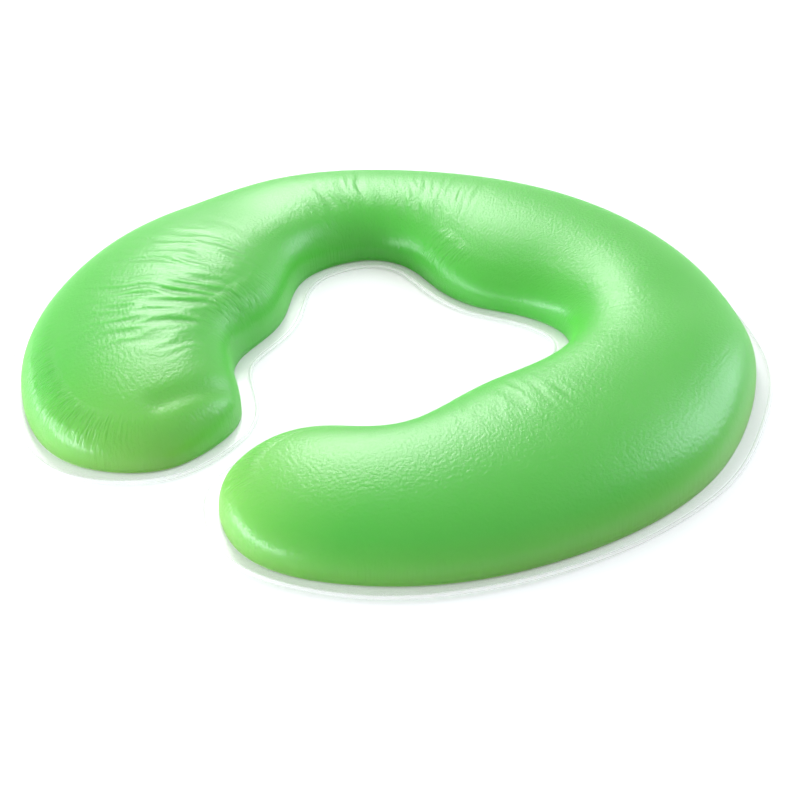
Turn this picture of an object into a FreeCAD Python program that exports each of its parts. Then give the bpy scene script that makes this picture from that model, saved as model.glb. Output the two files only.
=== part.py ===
import FreeCAD, Part
import os
import Sketcher

# Face cradle cushion: a U-shaped pad of soft gel, cast in the bag between two clear plastic
# films that are welded together all round. Millimetres. The pad lies on z = 0 with the origin
# under the middle of its overall box: +Y points to the forehead end, +Z up out of the face side,
# and the gap between the two arms opens towards -Y. The left half mirrors the right one.

document = FreeCAD.newDocument("face_cradle_cushion")

# Driving dimensions: (name, millimetres, what it sets).
DIMENSIONS = [
    ("pad_width", 300.0, "across the pad, over the welded rim"),
    ("pad_length", 284.0, "forehead end to arm tips, over the welded rim"),
    ("rim_width", 7.0, "from the gel to the trimmed edge of the rim"),
    ("gel_height", 23.0, "thickness of the gel"),
    ("shoulder_radius", 14.0, "rounding of the gel's upper edge"),
    ("top_thickness", 0.5, "formed upper film"),
    ("base_thickness", 0.5, "flat lower film"),
    ("weld_width", 1.6, "fused bead along the trimmed edge"),
    ("weld_rise", 0.3, "how far the bead stands above the upper film"),
    ("weld_rounding", 0.3, "rounding of the bead's upper edges"),
    ("brow_depth", 86.0, "gel from the forehead end to the face hole"),
    ("hole_width", 126.0, "face hole at its widest, gel to gel"),
    ("cheek_width", 96.0, "face hole between the cheeks, gel to gel"),
    ("hole_length", 101.0, "from the brow to the chin corners of the face hole"),
    ("arm_gap", 20.0, "between the two arms, gel to gel"),
]

sizes = document.addObject("Spreadsheet::Sheet", "Sizes")
for row, (name, value, meaning) in enumerate(DIMENSIONS, start=1):
    sizes.set(f"A{row}", meaning)
    sizes.set(f"B{row}", str(value))
    sizes.setAlias(f"B{row}", name)
document.recompute()

# Lines that the outline is laid out from, as expressions on the sheet.
HALF_WIDE = "(Sizes.pad_width / 2 - Sizes.rim_width)"
HALF_LONG = "(Sizes.pad_length / 2 - Sizes.rim_width)"
BROW = f"({HALF_LONG} - Sizes.brow_depth)"
CHIN = f"({BROW} - Sizes.hole_length)"
HALF_HOLE = "Sizes.hole_width / 2"
HALF_CHEEK = "Sizes.cheek_width / 2"
HALF_GAP = "Sizes.arm_gap / 2"

# Control poles of the right half of the gel's outline, from the forehead end round the outside
# and the arm tip, up the gap and round the face hole to the brow: where the pole lies across and
# along, then how far it moves across and along for each millimetre that the outline grows.
POLES = [
    ("0", HALF_LONG, 0.0, 1.0),
    (f"0.28 * {HALF_WIDE}", HALF_LONG, 0.32, 1.0),
    (f"0.74 * {HALF_WIDE}", f"0.73 * {HALF_LONG}", 0.64, 0.81),
    (f"0.896 * {HALF_WIDE}", f"0.455 * {HALF_LONG}", 0.96, 0.41),
    (f"1.0225 * {HALF_WIDE}", f"0.075 * {HALF_LONG}", 0.98, 0.14),
    (f"0.98 * {HALF_WIDE}", f"-0.315 * {HALF_LONG}", 1.02, -0.31),
    (f"0.81 * {HALF_WIDE}", f"-0.705 * {HALF_LONG}", 0.77, -0.58),
    (f"0.58 * {HALF_WIDE}", f"-0.925 * {HALF_LONG}", 0.68, -0.81),
    (f"0.32 * {HALF_WIDE}", f"-1.044 * {HALF_LONG}", -0.07, -1.15),
    (f"{HALF_GAP} + 4.2", f"14 - {HALF_LONG}", -0.77, -0.61),
    (f"{HALF_GAP} - 1.4", f"33 - {HALF_LONG}", -1.23, -0.25),
    (f"{HALF_GAP} + 1.5", f"{CHIN} - 16.5", -0.56, 0.96),
    (f"{HALF_CHEEK} + 2.8", CHIN, -0.86, 0.45),
    (f"{HALF_CHEEK} - 3.4", f"{CHIN} + 39.5", -0.96, 0.09),
    (f"{HALF_HOLE} + 9", f"{BROW} - 22.5", -1.1, 0.49),
    (f"{HALF_HOLE} - 17", f"{BROW} + 18", -0.44, -1.53),
    ("11.5", BROW, 0.71, -1.0),
    ("0", BROW, 0.0, -1.0),
]
DEGREE = 3
POLE_CIRCLE = 1.0


def origin_plane(body, role):
    """One of a body's own origin planes."""
    return next(plane for plane in body.Origin.OriginFeatures if plane.Role == role)


def draw_half(sketch, side, growth):
    """Draw one half of the outline: a clamped spline whose poles are bound to the sheet."""
    across = [f"{side} * ({x} + {growth} * {out_x})" for x, y, out_x, out_y in POLES]
    along = [f"{y} + {growth} * {out_y}" for x, y, out_x, out_y in POLES]
    points = [
        FreeCAD.Vector(float(sizes.evalExpression(x)), float(sizes.evalExpression(y)), 0)
        for x, y in zip(across, along)
    ]
    spans = len(points) - DEGREE
    curve = Part.BSplineCurve()
    ends = DEGREE + 1
    repeats = [ends] + [1] * (spans - 1) + [ends]
    curve.buildFromPolesMultsKnots(points, repeats, list(range(spans + 1)), False, DEGREE)
    spline = sketch.addGeometry(curve, False)
    first = None
    for index, point in enumerate(points):
        circle = Part.Circle(point, FreeCAD.Vector(0, 0, 1), POLE_CIRCLE)
        pole = sketch.addGeometry(circle, True)
        if first is None:
            first = pole
            sketch.addConstraint(Sketcher.Constraint("Weight", pole, POLE_CIRCLE))
        else:
            sketch.addConstraint(Sketcher.Constraint("Equal", first, pole))
        kind = "InternalAlignment:Sketcher::BSplineControlPoint"
        sketch.addConstraint(Sketcher.Constraint(kind, pole, 3, spline, index))
        if index in (0, len(points) - 1):
            sketch.addConstraint(Sketcher.Constraint("PointOnObject", pole, 3, -2))
        else:
            bind_distance(sketch, "DistanceX", pole, point.x, across[index])
        bind_distance(sketch, "DistanceY", pole, point.y, along[index])


def bind_distance(sketch, kind, pole, value, expression):
    """Hold a pole at a distance from the origin that follows an expression."""
    number = sketch.addConstraint(Sketcher.Constraint(kind, -1, 1, pole, 3, value))
    name = f"{kind}_{pole}"
    sketch.renameConstraint(number, name)
    sketch.setExpression(f"Constraints.{name}", expression)


def add_outline(body, name, growths):
    """A sketch on the body's base plane with one closed outline for each growth."""
    sketch = body.newObject("Sketcher::SketchObject", name)
    sketch.AttachmentSupport = [(origin_plane(body, "XY_Plane"), "")]
    sketch.MapMode = "FlatFace"
    for growth in growths:
        for side in (1, -1):
            draw_half(sketch, side, growth)
    document.recompute()
    return sketch


def add_body(name, base_height):
    """An empty body whose base plane lies at a height that follows an expression."""
    body = document.addObject("PartDesign::Body", name)
    body.Label = name
    body.setExpression("Placement.Base.z", base_height)
    return body


def add_pad(body, name, sketch, length):
    """Pull a sketch up from the base plane."""
    pad = body.newObject("PartDesign::Pad", name)
    pad.Profile = sketch
    pad.setExpression("Length", length)
    sketch.Visibility = False
    document.recompute()
    return pad


def edges_at(feature, height):
    """Names of a feature's edges that lie flat at a height."""
    names = []
    for number, edge in enumerate(feature.Shape.Edges, start=1):
        box = edge.BoundBox
        flat = abs(box.ZMin - height) < 1e-4 and abs(box.ZMax - height) < 1e-4
        if flat:
            names.append(f"Edge{number}")
    return names


def add_fillet(body, name, base, height, radius):
    """Round the flat edges of a feature that lie at a height above its base plane."""
    fillet = body.newObject("PartDesign::Fillet", name)
    fillet.Base = (base, edges_at(base, height))
    fillet.setExpression("Radius", radius)
    document.recompute()
    return fillet


# Base film: flat sheet under the gel, out to the weld.
FILM_EDGE = "(Sizes.rim_width - Sizes.weld_width)"
base_film = add_body("base_film", "0")
base_sheet = add_outline(base_film, "base_sheet_outline", [FILM_EDGE])
add_pad(base_film, "base_sheet", base_sheet, "Sizes.base_thickness")

# Gel core: one cast piece that lies on the base film, with a rounded shoulder all round.
gel_core = add_body("gel_core", "Sizes.base_thickness")
gel_outline = add_outline(gel_core, "gel_outline", ["0"])
gel_block = add_pad(gel_core, "gel_block", gel_outline, "Sizes.gel_height")
add_fillet(gel_core, "gel_shoulder", gel_block, sizes.gel_height, "Sizes.shoulder_radius")

# Top film: a rim that lies on the base film and a dome formed over the gel, hollow where it is.
film_form = add_body("film_form", "Sizes.base_thickness")
rim_outline = add_outline(film_form, "rim_outline", [FILM_EDGE])
add_pad(film_form, "rim", rim_outline, "Sizes.top_thickness")
dome_outline = add_outline(film_form, "dome_outline", ["Sizes.top_thickness"])
dome_height = "Sizes.gel_height + Sizes.top_thickness"
dome = add_pad(film_form, "dome", dome_outline, dome_height)
dome_top = float(sizes.evalExpression(dome_height))
dome_radius = "Sizes.shoulder_radius + Sizes.top_thickness"
add_fillet(film_form, "dome_shoulder", dome, dome_top, dome_radius)
top_film = document.addObject("Part::Cut", "top_film")
top_film.Label = "top_film"
top_film.Base = film_form
top_film.Tool = gel_core
document.recompute()

# Edge weld: the bead where both films are melted into one along the trimmed edge.
edge_weld = add_body("edge_weld", "0")
bead_outline = add_outline(edge_weld, "bead_outline", ["Sizes.rim_width", FILM_EDGE])
bead_height = "Sizes.base_thickness + Sizes.top_thickness + Sizes.weld_rise"
bead = add_pad(edge_weld, "bead", bead_outline, bead_height)
bead_top = float(sizes.evalExpression(bead_height))
add_fillet(edge_weld, "bead_rounding", bead, bead_top, "Sizes.weld_rounding")

document.recompute()
for item in document.Objects:
    faults = [state for state in item.State if state in ("Invalid", "Error")]
    if faults:
        raise RuntimeError(f"{item.Label} is {faults[0]}")
bodies = [base_film, gel_core, top_film, edge_weld]
for body in bodies:
    if body.Shape.isNull() or not body.Shape.isValid() or len(body.Shape.Solids) != 1:
        raise RuntimeError(f"{body.Label} has no sound solid")

os.makedirs("parts", exist_ok=True)
for body in bodies:
    body.Shape.exportStep(f"parts/{body.Label}.step")
    print(body.Label, body.Shape.BoundBox, f"{body.Shape.Volume:.0f} mm3")
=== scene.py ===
import math
import bmesh
import bpy
import numpy as np
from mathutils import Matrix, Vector, noise
from mathutils.geometry import delaunay_2d_cdt
from mathutils.kdtree import KDTree


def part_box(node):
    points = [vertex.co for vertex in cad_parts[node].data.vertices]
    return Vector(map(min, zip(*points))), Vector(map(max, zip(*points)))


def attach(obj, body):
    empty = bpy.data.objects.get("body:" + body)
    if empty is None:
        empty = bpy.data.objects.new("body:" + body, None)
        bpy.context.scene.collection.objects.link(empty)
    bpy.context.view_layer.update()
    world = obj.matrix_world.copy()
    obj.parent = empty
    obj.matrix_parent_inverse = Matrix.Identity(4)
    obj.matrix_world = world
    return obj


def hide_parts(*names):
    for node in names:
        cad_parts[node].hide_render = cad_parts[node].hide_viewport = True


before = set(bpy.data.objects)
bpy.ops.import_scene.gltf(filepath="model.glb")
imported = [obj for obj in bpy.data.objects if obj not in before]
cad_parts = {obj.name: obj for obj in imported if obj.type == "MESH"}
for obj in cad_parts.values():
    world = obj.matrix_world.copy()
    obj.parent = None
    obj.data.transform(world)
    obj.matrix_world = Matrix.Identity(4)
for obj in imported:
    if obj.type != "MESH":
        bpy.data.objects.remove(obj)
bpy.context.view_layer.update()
MM = 0.001


# ---------------------------------------------------------------------------------------------
# Outline of the pad as it lies.
# The pad is moulded symmetric, but it is soft, so the face hole has slumped a few millimetres to
# one side where it was put down. All four pieces share this line, so they stay fitted together.
# ---------------------------------------------------------------------------------------------
LINE_POINTS = 1500
LINE_SMOOTHING = 2.0 * MM
# Where the soft pad is pushed, how far, and over what radius, in millimetres.
SLUMPS = [
    ((62, 33), (-5.5, -3.0), 20),
    ((-62, 20), (-5.5, -1.0), 20),
    ((-55, 50), (-2.0, 3.0), 14),
    ((38, -54), (3.0, -3.5), 11),
    ((-20, 52), (0.0, -2.8), 12),
    ((20, 54), (-0.5, 2.0), 12),
    ((10, -98), (-1.6, 0.0), 16),
]


def wall_foot(node):
    """The closed line of points where a CAD node's flat underside meets its wall."""
    mesh = bmesh.new()
    mesh.from_mesh(node.data)
    bmesh.ops.remove_doubles(mesh, verts=mesh.verts, dist=0.01 * MM)
    mesh.normal_update()
    after = {}
    for edge in mesh.edges:
        down = [f for f in edge.link_faces if f.normal.z < -0.9]
        if len(edge.link_faces) == 2 and len(down) == 1:
            loop = next(l for l in down[0].loops if l.edge == edge)
            after[loop.link_loop_next.vert.index] = loop.vert.index
    mesh.verts.ensure_lookup_table()
    start = next(iter(after))
    line = [start]
    while after[line[-1]] != start:
        line.append(after[line[-1]])
    points = np.array([mesh.verts[i].co[:2] for i in line])
    mesh.free()
    return points


def even_line(points, count, smoothing):
    """A closed line resampled to evenly spaced points and smoothed over a short length."""
    closed = np.vstack([points, points[:1]])
    along = np.r_[0, np.cumsum(np.hypot(*np.diff(closed, axis=0).T))]
    at = np.linspace(0, along[-1], count, endpoint=False)
    even = np.c_[np.interp(at, along, closed[:, 0]), np.interp(at, along, closed[:, 1])]
    cycles = np.fft.fftfreq(count, along[-1] / count)
    keep = np.exp(-0.5 * (2 * math.pi * cycles * smoothing) ** 2)
    return np.real(np.fft.ifft(np.fft.fft(even, axis=0) * keep[:, None], axis=0))


def slumped(points):
    """Plan positions moved as the soft pad has slumped."""
    moved = points.copy()
    for (x, y), (dx, dy), radius in SLUMPS:
        away = np.hypot(points[:, 0] - x * MM, points[:, 1] - y * MM) / (radius * MM)
        moved += np.exp(-0.5 * away ** 2)[:, None] * np.array([dx, dy]) * MM
    return moved


foot_line = even_line(wall_foot(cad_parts["gel_core"]), LINE_POINTS, LINE_SMOOTHING)
foot_line = even_line(slumped(foot_line), LINE_POINTS, LINE_SMOOTHING)
ahead = np.roll(foot_line, -1, axis=0) - np.roll(foot_line, 1, axis=0)
ahead /= np.hypot(*ahead.T)[:, None]
outward = np.c_[ahead[:, 1], -ahead[:, 0]]


# ---------------------------------------------------------------------------------------------
# Gel core: soft, translucent green gel, cast in one piece between the two films.
# It stands up from the base film in a steep wall, rolls over a rounded shoulder and swells to a
# low crown, because the stretched film holds it as a membrane holds a fluid.
# ---------------------------------------------------------------------------------------------
gel_low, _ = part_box("gel_core")
FOOT = gel_low.z
DOME_RISE = 25.6 * MM
DOME_HALF_WIDTH = 43.0 * MM
DOME_FULLNESS = 0.35
BROW_EASE = 0.74
ARM_EASE = 1.2
BROW_STARTS = 15.0 * MM
BROW_LENGTH = 45.0 * MM
SHOULDER_WIDTH = 12.7 * MM
SHOULDER_ROWS = 23
SHOULDER_SPREAD = 2.2
SHOULDER_SMOOTHING = 4.0 * MM
SLOPE_PROBE = 2.0 * MM
TOP_SPACING = 0.9 * MM
CELL = 1.0 * MM
RELAXATIONS = 500
RELAXATION_GAIN = 1.944
HOLE_MIDDLE = np.array((0.0, -5.0)) * MM


def inside_line(points, line):
    """For each point, whether it lies inside a closed line."""
    x, y = points[:, 0], points[:, 1]
    result = np.zeros(len(points), bool)
    for (ax, ay), (bx, by) in zip(line, np.roll(line, -1, axis=0)):
        crosses = (ay > y) != (by > y)
        if ay != by:
            result ^= crosses & (x < (bx - ax) * (y - ay) / (by - ay) + ax)
    return result


def nearest_line_point(points):
    """For each point, its distance from the foot line and which line point is nearest."""
    tree = KDTree(len(foot_line))
    for i, point in enumerate(foot_line):
        tree.insert((*point, 0), i)
    tree.balance()
    found = [tree.find((*point, 0)) for point in points]
    return np.array([hit[2] for hit in found]), np.array([hit[1] for hit in found])


def settled(field, free, load):
    """A grid that has settled like a membrane: held where it isn't free, and lifted by a load."""
    before = field
    for _ in range(RELAXATIONS):
        around = np.roll(field, 1, 0) + np.roll(field, -1, 0) + np.roll(field, 1, 1) + np.roll(field, -1, 1)
        wanted = np.where(free, RELAXATION_GAIN * ((around + load) / 4 - before) + before, field)
        before, field = field, wanted
    return field


def sample(field, low, points):
    """A grid's value at each point, between its cells."""
    at = (points - low) / CELL
    cell = np.clip(np.floor(at).astype(int), 0, np.array(field.shape[::-1]) - 2)
    fx, fy = (at - cell).T
    ix, iy = cell.T
    lower = field[iy, ix] * (1 - fx) + field[iy, ix + 1] * fx
    upper = field[iy + 1, ix] * (1 - fx) + field[iy + 1, ix + 1] * fx
    return lower * (1 - fy) + upper * fy


grid_low = foot_line.min(axis=0) - 3 * CELL
grid_high = foot_line.max(axis=0) + 3 * CELL
columns = np.arange(grid_low[0], grid_high[0], CELL)
lines = np.arange(grid_low[1], grid_high[1], CELL)
grid = np.stack(np.meshgrid(columns, lines), axis=-1)
cells = grid.reshape(-1, 2)
free = inside_line(cells, foot_line[::3]).reshape(grid.shape[:2])
# The swell is the squared half-width of the pad at each place, as a membrane finds it.
swell = 2 * settled(np.zeros(free.shape), free, CELL ** 2)
# The reach runs from 0 at the face hole to 1 at the outer edge.
outwards = foot_line - HOLE_MIDDLE
facing_out = np.einsum("ij,ij->i", outward, outwards) / np.hypot(*outwards.T)
line_reach = np.clip(0.5 + 1.2 * facing_out, 0, 1)
_, nearest = nearest_line_point(cells)
reach = settled(line_reach[nearest].reshape(free.shape), free, 0)


def smooth_along(values, length):
    """Numbers round the closed line, smoothed over a length."""
    step = float(np.hypot(*(foot_line[1] - foot_line[0])))
    cycles = np.fft.fftfreq(len(values), step)
    keep = np.exp(-0.5 * (2 * math.pi * cycles * length) ** 2)
    return np.real(np.fft.ifft(np.fft.fft(values) * keep))


def dome_height(swelling, across, forward):
    """Height of the gel. Its crest lies near the face hole along the arms, and far back at the brow."""
    brow = np.clip((forward - BROW_STARTS) / BROW_LENGTH, 0, 1)
    ease = ARM_EASE + (BROW_EASE - ARM_EASE) * brow ** 2 * (3 - 2 * brow)
    share = ease + 2 * (1 - ease) * across
    return DOME_RISE * (np.maximum(swelling, 0) / DOME_HALF_WIDTH ** 2 * share) ** DOME_FULLNESS


def shoulder_rows():
    """Rows of points from the foot of the gel up over its shoulder."""
    insets = (SHOULDER_WIDTH - SLOPE_PROBE, SHOULDER_WIDTH, SHOULDER_WIDTH + SLOPE_PROBE)
    before, middle, after = [sample(swell, grid_low, foot_line - outward * inset) for inset in insets]
    value = smooth_along(middle, SHOULDER_SMOOTHING)
    slope = smooth_along((after - before) / (2 * SLOPE_PROBE), SHOULDER_SMOOTHING)
    bend = (slope * SHOULDER_WIDTH - value) / SHOULDER_WIDTH ** 2
    start = (2 * value - slope * SHOULDER_WIDTH) / SHOULDER_WIDTH
    found = []
    for inset in SHOULDER_WIDTH * np.linspace(0, 1, SHOULDER_ROWS) ** SHOULDER_SPREAD:
        plan = foot_line - outward * inset
        across = smooth_along(sample(reach, grid_low, plan), SHOULDER_SMOOTHING)
        swelling = start * inset + bend * inset ** 2
        found.append(np.c_[plan, FOOT + dome_height(swelling, across, plan[:, 1])])
    return found


def top_seeds(edge):
    """Evenly spread points inside the innermost shoulder row."""
    xs = np.arange(edge[:, 0].min(), edge[:, 0].max(), TOP_SPACING)
    ys = np.arange(edge[:, 1].min(), edge[:, 1].max(), TOP_SPACING * math.sqrt(0.75))
    seeds = np.array([(x + (i % 2) * TOP_SPACING / 2, y) for i, y in enumerate(ys) for x in xs])
    seeds = seeds[inside_line(seeds, foot_line[::3])]
    depth, _ = nearest_line_point(seeds)
    return seeds[depth > SHOULDER_WIDTH + 0.6 * TOP_SPACING]


def new_piece(name, points, faces):
    """A smooth-shaded mesh object at the origin."""
    mesh = bpy.data.meshes.new(name)
    mesh.from_pydata(points.tolist(), [], faces)
    mesh.shade_smooth()
    piece = bpy.data.objects.new(name, mesh)
    bpy.context.scene.collection.objects.link(piece)
    return piece


def band_faces(count):
    """Quads that join rows of points round the line, each row above or outside the last."""
    faces = []
    for row in range(count - 1):
        for i in range(LINE_POINTS):
            j = (i + 1) % LINE_POINTS
            low, high = row * LINE_POINTS, (row + 1) * LINE_POINTS
            faces.append((low + i, low + j, high + j, high + i))
    return faces


rows = shoulder_rows()
wall = np.vstack(rows)
edge = rows[-1]
seeds = top_seeds(edge)
flat = [Vector(p[:2]) for p in edge] + [Vector(p) for p in seeds]
_, _, triangles, _, _, _ = delaunay_2d_cdt(flat, [], [range(LINE_POINTS)], 1, 1e-9, False)
triangles = np.array(triangles)
middles = np.array(flat)[triangles].mean(axis=1)
inside = (triangles.max(axis=1) >= LINE_POINTS) | inside_line(middles, edge[:, :2])
triangles = triangles[inside].tolist()
over = dome_height(sample(swell, grid_low, seeds), sample(reach, grid_low, seeds), seeds[:, 1])
crown = np.c_[seeds, FOOT + over]
skin = np.vstack([wall, crown])
start = (SHOULDER_ROWS - 1) * LINE_POINTS
skin_faces = band_faces(SHOULDER_ROWS) + [tuple(start + i for i in face) for face in triangles]
underside = tuple(reversed(range(LINE_POINTS)))


FAN_CENTRE = np.array((0.0, 15.0)) * MM
FAN_RADIUS = 85.0 * MM
WRINKLE_LENGTH = 24.0 * MM
WRINKLE_SWAY = 3.0 * MM
SWAY_LENGTH = 26.0 * MM
WRINKLES_FADE_BELOW = 9.0 * MM
SMALLEST_WRINKLE = 0.003 * MM
TOP_HEIGHT = 15.0 * MM
# Where the film wrinkles over the gel, over what radius, how far apart and how high the wrinkles
# are, in millimetres.
WRINKLED = [
    ((-78, -50), 22, 4.8, 0.66),
    ((-92, -22), 20, 4.4, 0.46),
    ((-64, -72), 20, 4.0, 0.42),
    ((-78, 60), 20, 4.0, 0.30),
    ((-46, 80), 19, 3.6, 0.28),
    ((60, 62), 20, 3.2, 0.10),
    ((76, 28), 17, 3.2, 0.09),
    ((80, -20), 18, 5.0, 0.20),
    ((58, -44), 16, 5.0, 0.16),
]


def fade(points, middle, radius):
    """A soft patch round a place, 1 in its middle."""
    away = points[:, :2] - np.array(middle) * MM
    return np.exp(-(away ** 2).sum(axis=1) / (radius * MM) ** 2)


def wrinkles(points, middle, radius, spacing, height):
    """A patch of wrinkles across the pad, fanned out from the face hole."""
    spread = points[:, :2] - FAN_CENTRE
    far = np.hypot(*spread.T) / WRINKLE_LENGTH
    along = np.arctan2(spread[:, 0], spread[:, 1]) * FAN_RADIUS
    on_top = np.clip(points[:, 2] / WRINKLES_FADE_BELOW - 1, 0, 1)
    size = height * MM * fade(points, middle, radius) * on_top
    lift = np.zeros(len(points))
    for i in np.flatnonzero(size > SMALLEST_WRINKLE):
        sway = WRINKLE_SWAY * noise.noise((far[i] * 1.4, along[i] / SWAY_LENGTH, 5.1))
        turn = (along[i] + sway) / (spacing * MM)
        ridge = 1 - 2.6 * abs(noise.noise((far[i], turn, 0.4)))
        lift[i] = size[i] * (ridge + 0.4 * noise.noise((far[i] * 2, turn * 2.3, 7.4)))
    return lift


def groove(points, start, end, depth, width):
    """A soft crease between two places."""
    start, end = np.array(start) * MM, np.array(end) * MM
    share = np.clip((points[:, :2] - start) @ (end - start) / ((end - start) @ (end - start)), 0, 1)
    away = points[:, :2] - start - share[:, None] * (end - start)
    return -depth * MM * np.exp(-(away ** 2).sum(axis=1) / (width * MM) ** 2)


skin[:, 2] += sum(wrinkles(skin, *patch) for patch in WRINKLED)
# The crease where the end of the left arm folds a little.
skin[:, 2] += groove(skin, (-28, -103), (-18, -70), 1.1, 4.8) * np.clip(skin[:, 2] / TOP_HEIGHT, 0, 1)
# Where the gel has sunk a little under its film, over what radius, and how far, in millimetres.
SUNK = [((24, 64), 27, 2.4), ((-106, 20), 27, 1.8), ((86, 86), 22, 1.5)]
for middle, radius, depth in SUNK:
    skin[:, 2] -= depth * MM * fade(skin, middle, radius) * np.clip(skin[:, 2] / TOP_HEIGHT, 0, 1)
gel = new_piece("gel_core_cast", skin, skin_faces + [underside])


def add_node(tree, kind, settings=None, links=None):
    """Adds a shader node with its settings and its links, and returns it."""
    node = tree.nodes.new(kind)
    for name, value in (settings or {}).items():
        if isinstance(name, int) or name in node.inputs:
            node.inputs[name].default_value = value
        else:
            setattr(node, name, value)
    for name, source in (links or {}).items():
        tree.links.new(source, node.inputs[name])
    return node


def linear(code):
    """An sRGB hex colour as linear red, green, blue and alpha."""
    parts = [int(code[i:i + 2], 16) / 255 for i in (1, 3, 5)]
    return tuple(c / 12.92 if c <= 0.04045 else ((c + 0.055) / 1.055) ** 2.4 for c in parts) + (1.0,)


def blank_material(name):
    """A material with nodes on and only its output in place."""
    material = bpy.data.materials.new(name)
    material.use_nodes = True
    tree = material.node_tree
    tree.nodes.clear()
    return material, tree, tree.nodes.new("ShaderNodeOutputMaterial")


def add_share(piece, name, values):
    """Stores a number from 0 to 1 at every point of a piece."""
    share = piece.data.attributes.new(name, "FLOAT", "POINT")
    share.data.foreach_set("value", np.clip(values, 0, 1))


def add_lengths(piece, name, first, second):
    """Stores two lengths at every point of a piece, for a pattern that follows its surface."""
    pair = piece.data.attributes.new(name, "FLOAT_VECTOR", "POINT")
    pair.data.foreach_set("vector", np.c_[first, second, np.zeros(len(first))].ravel())


def add_patterns(piece, points):
    """Stores where every point lies across the pad and along its edge, and how far it is pleated."""
    spread = points[:, :2] - FAN_CENTRE
    fanned = np.arctan2(spread[:, 0], spread[:, 1]) * FAN_RADIUS
    add_lengths(piece, "across_pad", fanned, np.hypot(*spread.T))
    depth, place = nearest_line_point(points[:, :2])
    step = float(np.hypot(*(foot_line[1] - foot_line[0])))
    add_lengths(piece, "from_edge", place * step, depth)
    band = np.clip(1.6 - np.abs(depth - PLEAT_INSET) / PLEAT_HALF_WIDTH, 0, 1)
    pleated = band * (points[:, 2] > PLEAT_LOWEST)
    ends = sum(fade(points, middle, radius) for middle, radius in PLEATED)
    add_share(piece, "pleated", pleated * np.clip(ends, 0, 1))


def patterned(tree, name, across, along, detail):
    """A noise that follows the lengths stored under a name, drawn to a size across and along."""
    place = add_node(tree, "ShaderNodeAttribute", {"attribute_name": name})
    drawn = add_node(tree, "ShaderNodeVectorMath", {"operation": "MULTIPLY"}, {0: place.outputs["Vector"]})
    drawn.inputs[1].default_value = (1 / across, 1 / along, 0)
    source = {"Vector": drawn.outputs[0]}
    return add_node(tree, "ShaderNodeTexNoise", {"Scale": 1.0, "Detail": detail}, source).outputs["Fac"]


def embossed(tree):
    """The surface of the film and of the gel cast against it: fine grain, and pleats at the ends."""
    grain = patterned(tree, "across_pad", GRAIN_ACROSS, GRAIN_ALONG, 2.0)
    depth = {"Strength": 1.0, "Distance": GRAIN_DEPTH}
    grained = add_node(tree, "ShaderNodeBump", depth, {"Height": grain})
    pleat = patterned(tree, "from_edge", PLEAT_ACROSS, PLEAT_ALONG, 1.0)
    pleated = add_node(tree, "ShaderNodeAttribute", {"attribute_name": "pleated"})
    where = {0: pleat, 1: pleated.outputs["Fac"]}
    pleats = add_node(tree, "ShaderNodeMath", {"operation": "MULTIPLY"}, where)
    heights = {"Height": pleats.outputs[0], "Normal": grained.outputs["Normal"]}
    return add_node(tree, "ShaderNodeBump", {"Strength": 1.0, "Distance": PLEAT_DEPTH}, heights)


# Grain and pleats of about a millimetre, too fine for the mesh: how far apart they are across and
# along, how deep, and how far in from the foot the pleats lie.
GRAIN_ACROSS = 0.95 * MM
GRAIN_ALONG = 1.4 * MM
GRAIN_DEPTH = 0.21 * MM
PLEAT_ACROSS = 1.2 * MM
PLEAT_ALONG = 7.0 * MM
PLEAT_DEPTH = 1.5 * MM
PLEAT_INSET = 7.5 * MM
PLEAT_HALF_WIDTH = 4.5 * MM
PLEAT_LOWEST = 3.0 * MM
# Where the film is pleated along its edge, and over what radius, in millimetres.
PLEATED = [((-88, -112), 26), ((-56, -128), 24), ((16, -104), 20), ((-60, -34), 18), ((-26, 54), 14)]
add_patterns(gel, skin)
# The gel's colour is painted: darker, yellower and more olive low on its outer wall, as painted shade, and
# lighter and yellower towards the ends of the arms, as painted glow where light shines through the thin
# gel.
EDGE_HEIGHT = 15.0 * MM
ENDS_START = 62.0 * MM
ENDS_LENGTH = 60.0 * MM
ENDS_HALF_WIDTH = 50.0 * MM
skin_reach = np.clip(sample(reach, grid_low, skin[:, :2]), 0, 1)
# Painted shade: the colour is darkened towards olive low on the outer wall, where less light falls.
low_wall_painted_shade = 0.65 * (1 - skin[:, 2] / EDGE_HEIGHT) * np.clip(skin_reach * 2 - 0.6, 0, 1)
add_share(gel, "low_wall_painted_shade", low_wall_painted_shade)
# Painted glow: the colour is lightened towards the ends of the arms near the gap, where light shines
# through the thin gel.
towards_end = np.clip((-skin[:, 1] - ENDS_START) / ENDS_LENGTH, 0, 1)
near_gap = np.clip(1.5 - np.abs(skin[:, 0]) / ENDS_HALF_WIDTH, 0, 1)
add_share(gel, "arm_end_painted_glow", towards_end * near_gap)

# Soft gel: light sinks in several millimetres and comes out greener, so shadows fill and thin edges glow; a
# faint cloudiness from the cast.
# On top of that, painted glow lightens the colour at the ends of the arms and painted shade darkens it low
# on the outer wall.
gel_green = blank_material("soft_green_gel")
material, tree, output = gel_green
place = add_node(tree, "ShaderNodeTexCoord")
# The cloudiness is about 36 mm across, which is 28 to the metre.
source = {"Vector": place.outputs["Object"]}
cloud = add_node(tree, "ShaderNodeTexNoise", {"Scale": 28.0, "Detail": 2.0}, source)
tint = add_node(tree, "ShaderNodeMix", {"data_type": "RGBA"}, {"Factor": cloud.outputs["Fac"]})
tint.inputs[6].default_value = linear("#49b437")
tint.inputs[7].default_value = linear("#57ba45")
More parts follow.
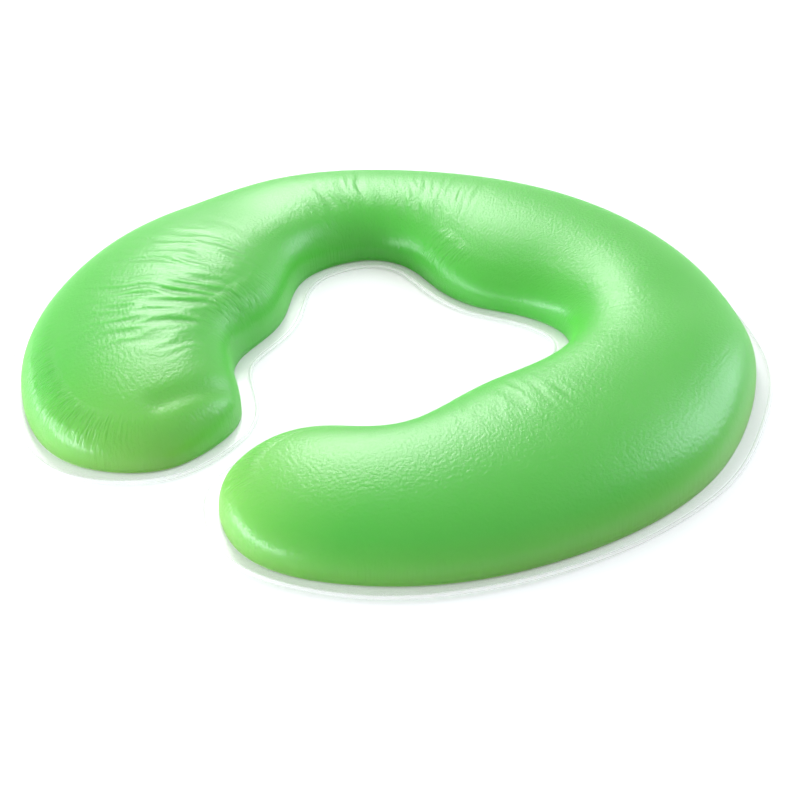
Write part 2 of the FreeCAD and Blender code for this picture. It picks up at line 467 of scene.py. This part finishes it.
# Painted glow: lighter, yellower green towards the ends of the arms.
ends = add_node(tree, "ShaderNodeAttribute", {"attribute_name": "arm_end_painted_glow"})
source = {"Factor": ends.outputs["Fac"], 6: tint.outputs[2]}
painted_glow_tint = add_node(tree, "ShaderNodeMix", {"data_type": "RGBA"}, source)
painted_glow_tint.inputs[7].default_value = linear("#75c24f")
# Painted shade: darker, olive green low on the outer wall.
edges = add_node(tree, "ShaderNodeAttribute", {"attribute_name": "low_wall_painted_shade"})
source = {"Factor": edges.outputs["Fac"], 6: painted_glow_tint.outputs[2]}
tint = add_node(tree, "ShaderNodeMix", {"data_type": "RGBA"}, source)
tint.inputs[7].default_value = linear("#7aa84a")
body = add_node(tree, "ShaderNodeBsdfPrincipled", {
    "Roughness": 0.5, "IOR": 1.41, "Subsurface Weight": 1.0, "Subsurface Scale": 6 * MM,
    "Subsurface Radius": (0.5, 1.0, 0.35), "Specular IOR Level": 0.2},
    {"Base Color": tint.outputs[2], "Normal": embossed(tree).outputs["Normal"]})
tree.links.new(body.outputs[0], output.inputs["Surface"])
gel.data.materials.append(material)
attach(gel, "root")
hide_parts("gel_core")


# ---------------------------------------------------------------------------------------------
# Top film: clear thermoplastic polyurethane, half a millimetre thick, formed down over the gel.
# It clings to the gel all over, turns outwards at the foot and runs flat to the weld. It is one
# sheet here, at its outer face.
# ---------------------------------------------------------------------------------------------
top_low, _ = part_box("top_film")
RIM_WIDTH = 7.0 * MM
WELD_WIDTH = 1.6 * MM
FILM = 0.5 * MM
RIM_LIFT = 0.9 * MM
RIM_WANDER = 0.7 * MM


def wander(seed, length):
    """A slow random swing round the line, from about -1 to 1, the same on every run."""
    values = [noise.noise((*(p / length), seed)) for p in foot_line]
    return np.array(values) * 1.6


rim_width = RIM_WIDTH + RIM_WANDER * wander(3.7, 45 * MM)
rim_lift = RIM_LIFT * np.clip(wander(9.1, 60 * MM) + 0.35, 0, 1)


def rim_row(share, height):
    """A row of points out on the rim, at a share of the way to the weld."""
    reach = share * (rim_width - WELD_WIDTH)
    return np.c_[foot_line + outward * reach[:, None], height + rim_lift * share ** 2]


normals = np.zeros(3 * len(skin))
gel.data.vertices.foreach_get("normal", normals)
dome = skin + normals.reshape(-1, 3) * FILM
# The film leaves the gel three rows above its foot, and turns outwards there in two small steps:
# how far outside the foot each lies, and how high above the rim.
TURN = 3
TURN_STEPS = ((0.62 * MM, 0.2 * MM), (0.5 * MM, 0.6 * MM))
first = TURN * LINE_POINTS
rim_shares = (1.0, 0.8, 0.6, 0.42, 0.27, 0.17)
rim_top = top_low.z + FILM
rim = [rim_row(share, rim_top) for share in rim_shares]
for outside, height in TURN_STEPS:
    rim.append(np.c_[foot_line + outward * outside, np.full(LINE_POINTS, rim_top + height)])
film_points = np.vstack(rim + [dome[first:]])
film_rows = len(rim) + SHOULDER_ROWS - TURN
start = (film_rows - 1) * LINE_POINTS
film_faces = band_faces(film_rows) + [tuple(start + i for i in face) for face in triangles]
film = new_piece("top_film_formed", film_points, film_faces)
add_patterns(film, film_points)

# Clear polyurethane film: all but invisible, with a soft satin gloss, because its grain spreads
# the light. Only its outer face shines, and the gloss is limited so that its edges don't whiten.
FILM_IOR = 1.5
FILM_ROUGHNESS = 0.30
GLOSS_LIMIT = 0.11
clear_film = blank_material("clear_polyurethane_film")
material, tree, output = clear_film
bump = embossed(tree)
facing = add_node(tree, "ShaderNodeFresnel", {"IOR": FILM_IOR}, {"Normal": bump.outputs["Normal"]})
clear = add_node(tree, "ShaderNodeBsdfTransparent", {"Color": (1, 1, 1, 1)})
side = add_node(tree, "ShaderNodeNewGeometry")
front = add_node(tree, "ShaderNodeMath", {"operation": "SUBTRACT"})
front.inputs[0].default_value = 1.0
tree.links.new(side.outputs["Backfacing"], front.inputs[1])
source = {0: facing.outputs["Fac"], 1: front.outputs[0]}
shine = add_node(tree, "ShaderNodeMath", {"operation": "MULTIPLY"}, source)
source = {"Normal": bump.outputs["Normal"]}
gloss = add_node(tree, "ShaderNodeBsdfGlossy", {"Roughness": FILM_ROUGHNESS}, source)
limit = add_node(tree, "ShaderNodeMath", {"operation": "MINIMUM"}, {0: shine.outputs[0]})
limit.inputs[1].default_value = GLOSS_LIMIT
mixed = add_node(tree, "ShaderNodeMixShader", None, {0: limit.outputs[0]})
tree.links.new(clear.outputs[0], mixed.inputs[1])
tree.links.new(gloss.outputs[0], mixed.inputs[2])
tree.links.new(mixed.outputs[0], output.inputs["Surface"])
film.data.materials.append(material)
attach(film, "root")
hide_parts("top_film")


# ---------------------------------------------------------------------------------------------
# Base film: the same clear film, flat under the gel and out to the weld.
# ---------------------------------------------------------------------------------------------
base_low, base_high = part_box("base_film")
base_middle = (base_low.z + base_high.z) / 2
# A little thinner than the film, so that it doesn't touch the gel's underside.
FILM_SHOWN = 0.42 * MM
base_rows = [rim_row(share, base_middle) for share in rim_shares] + [rim_row(0.0, base_middle)]
base_points = np.vstack(base_rows)
inner = (len(base_rows) - 1) * LINE_POINTS
base_faces = band_faces(len(base_rows)) + [tuple(inner + i for i in range(LINE_POINTS))]
base = new_piece("base_film_flat", base_points, base_faces)
shell = base.modifiers.new("thickness", "SOLIDIFY")
shell.thickness = FILM_SHOWN
shell.offset = 0
shell.use_even_offset = True
bpy.context.view_layer.objects.active = base
bpy.ops.object.modifier_apply(modifier=shell.name)
base.data.materials.append(clear_film[0])
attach(base, "root")
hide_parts("base_film")


# ---------------------------------------------------------------------------------------------
# Edge weld: the bead that the heated welding tool leaves along the trimmed edge, where both films
# have run together. It is thicker than the rim and rounded, so it catches the light as a line.
# ---------------------------------------------------------------------------------------------
weld_low, weld_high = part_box("edge_weld")
WELD_SIDES = 10
# The bead is drawn a little lower than its solid.
WELD_SHARE = 0.92
weld_height = (weld_high.z - weld_low.z) * WELD_SHARE
weld_rows = []
for side in range(WELD_SIDES):
    turn = side * math.tau / WELD_SIDES
    reach = rim_width - WELD_WIDTH / 2 * (1 - math.cos(turn))
    rise = weld_height / 2 * (1 + math.sin(turn)) + rim_lift
    weld_rows.append(np.c_[foot_line + outward * reach[:, None], rise])
weld_faces = band_faces(WELD_SIDES)
last = (WELD_SIDES - 1) * LINE_POINTS
for i in range(LINE_POINTS):
    j = (i + 1) % LINE_POINTS
    weld_faces.append((last + i, last + j, j, i))
weld = new_piece("edge_weld_bead", np.vstack(weld_rows), weld_faces)

# Fused film: clear film taken to have set smooth and a little hazy, which gives a pale, glossy line.
HAZE = 0.35
fused_film = blank_material("fused_film_bead")
material, tree, output = fused_film
haze = add_node(tree, "ShaderNodeBsdfPrincipled", {
    "Base Color": linear("#ffffff"), "Roughness": 0.2, "IOR": 1.5})
clear = add_node(tree, "ShaderNodeBsdfTransparent", {"Color": (1, 1, 1, 1)})
mixed = add_node(tree, "ShaderNodeMixShader", {0: HAZE})
tree.links.new(clear.outputs[0], mixed.inputs[1])
tree.links.new(haze.outputs[0], mixed.inputs[2])
tree.links.new(mixed.outputs[0], output.inputs["Surface"])
weld.data.materials.append(material)
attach(weld, "root")
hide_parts("edge_weld")


# ---------------------------------------------------------------------------------------------
# Studio: a plain white table, soft light from all round and a large soft light behind.
# ---------------------------------------------------------------------------------------------
TABLE_SIZE = 8.0
ROOM_LIGHT = 0.75
bpy.ops.mesh.primitive_plane_add(size=TABLE_SIZE, location=(0, 0, 0))
floor = bpy.context.object
floor.name = "studio_floor"
floor.data.transform(floor.matrix_world)
floor.matrix_world.identity()

# White table top: matt paint, bright enough to lose its edges.
white_table = blank_material("white_table")
material, tree, output = white_table
body = add_node(tree, "ShaderNodeBsdfPrincipled", {"Base Color": linear("#fdfdfd"), "Roughness": 0.6})
tree.links.new(body.outputs[0], output.inputs["Surface"])
floor.data.materials.append(material)

# Light crosses several clear faces on its way through the films, so many are allowed.
bpy.context.scene.cycles.transparent_max_bounces = 24
world = bpy.data.worlds.new("soft_white_room")
world.use_nodes = True
world.node_tree.nodes["Background"].inputs["Color"].default_value = (1, 1, 1, 1)
world.node_tree.nodes["Background"].inputs["Strength"].default_value = ROOM_LIGHT
bpy.context.scene.world = world

VIEW_TURN = math.radians(39.46)
VIEW_RISE = math.radians(33.11)
VIEW_DISTANCE = 749.0 * MM
VIEW_TARGET = Vector((21.4 * MM, -24.7 * MM, 0))
VIEW_ANGLE = math.radians(23.145)


def direction(turn, rise):
    """The unit vector for a turn round the pad from its front, and a rise above the table."""
    return Vector((math.sin(turn) * math.cos(rise), -math.cos(turn) * math.cos(rise), math.sin(rise)))


def soft_box(name, turn, rise, distance, width, height, power, colour="#ffffff"):
    """A soft box aimed at the pad, placed round it from the camera's side."""
    light = bpy.data.lights.new(name, "AREA")
    light.shape = "RECTANGLE"
    light.size = width
    light.size_y = height
    light.energy = power
    light.color = linear(colour)[:3]
    box = bpy.data.objects.new(name, light)
    away = direction(VIEW_TURN + math.radians(turn), math.radians(rise))
    box.location = away * distance
    box.rotation_euler = away.to_track_quat("Z", "Y").to_euler()
    bpy.context.scene.collection.objects.link(box)


soft_box("back_soft_box", 189, 37, 1.5, 0.48, 0.78, 10.2)
soft_box("right_soft_box", 120, 31, 1.3, 0.56, 0.75, 7.2, "#e6f0ff")
soft_box("left_strip_box", 284, 12, 1.1, 1.3, 0.16, 13.0, "#eef5ff")

camera_data = bpy.data.cameras.new("camera")
camera_data.sensor_width = 36.0
camera_data.lens = 18.0 / math.tan(VIEW_ANGLE / 2)
camera = bpy.data.objects.new("camera", camera_data)
towards_camera = direction(VIEW_TURN, VIEW_RISE)
camera.location = VIEW_TARGET + towards_camera * VIEW_DISTANCE
camera.rotation_euler = towards_camera.to_track_quat("Z", "Y").to_euler()
bpy.context.scene.collection.objects.link(camera)
bpy.context.scene.camera = camera
bpy.context.scene.view_settings.view_transform = "Standard"
